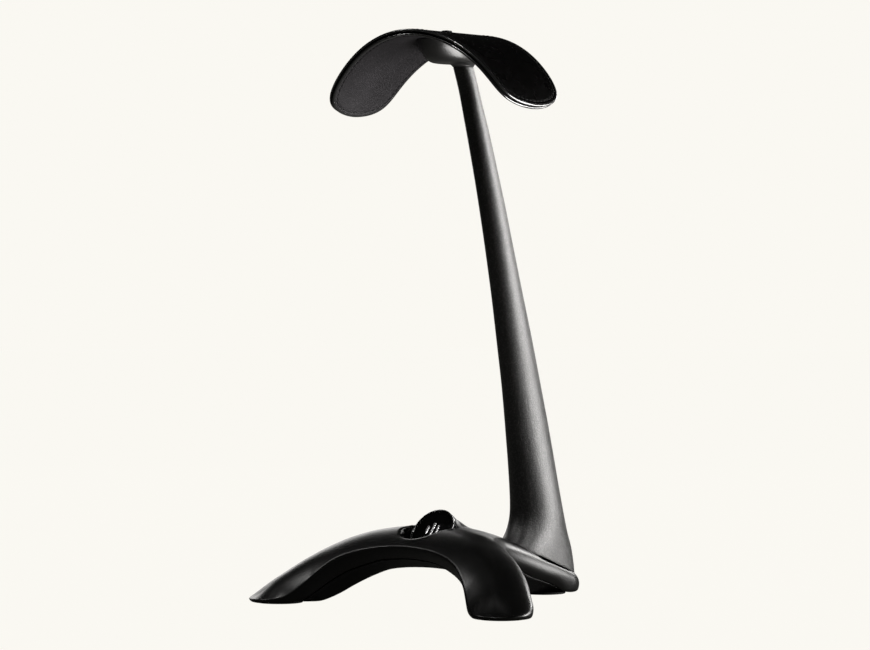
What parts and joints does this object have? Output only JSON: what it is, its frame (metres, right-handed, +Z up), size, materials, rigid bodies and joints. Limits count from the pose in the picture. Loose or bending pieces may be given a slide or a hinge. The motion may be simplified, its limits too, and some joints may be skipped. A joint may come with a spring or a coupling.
{
  "type": "headphone stand",
  "caption": "Headphone stand: leaning tapered mast on a three-legged base, with a bent leather saddle on top.",
  "frame": {"origin": "centre of the footprint on the desk", "axes": "+Z up, -Y toward the front where the badge faces, X to the sides; the stand mirrors left to right about X = 0"},
  "size_m": [0.1644, 0.1559, 0.2732],
  "materials": {
    "shell": "satin black, fine texture",
    "cover": "matte black",
    "pad": "matte",
    "ballast": "zinc plated plate",
    "insert": "knurled",
    "screw": "black zinc",
    "mast_paint": "fine powder coat, satin",
    "gasket": "matte",
    "leather_top": "smooth black",
    "plate": "spring strip, blackened",
    "leather_lining": "fine grain, dark grey",
    "thread": "twisted polyester thread",
    "bracket_paint": "satin black",
    "tape": "adhesive foam",
    "bezel": "high gloss black, polished edge",
    "badge_black": "high gloss black",
    "emblem": "polished"
  },
  "bodies": {
    "root": {"base_shell": "shell", "base_cover": "cover", "foot_left": "pad", "foot_right": "pad", "foot_rear": "pad", "ballast_left": "ballast", "ballast_right": "ballast", "cover_inserts": "insert", "cover_screws": "screw", "mast_screws": "screw", "mast_washers": "screw", "mast": "mast_paint", "mast_gasket": "gasket", "saddle_cover": "leather_top", "saddle_plate": "plate", "saddle_lining": "leather_lining", "stitch_top": "thread", "stitch_under": "thread", "crown_tab": "leather_top", "saddle_bracket": "bracket_paint", "bracket_screw": "screw", "saddle_screws": "screw", "badge_tape": "tape", "badge_bezel": "bezel", "badge_face": "badge_black", "badge_emblem": "emblem"}
  },
  "joints": []
}
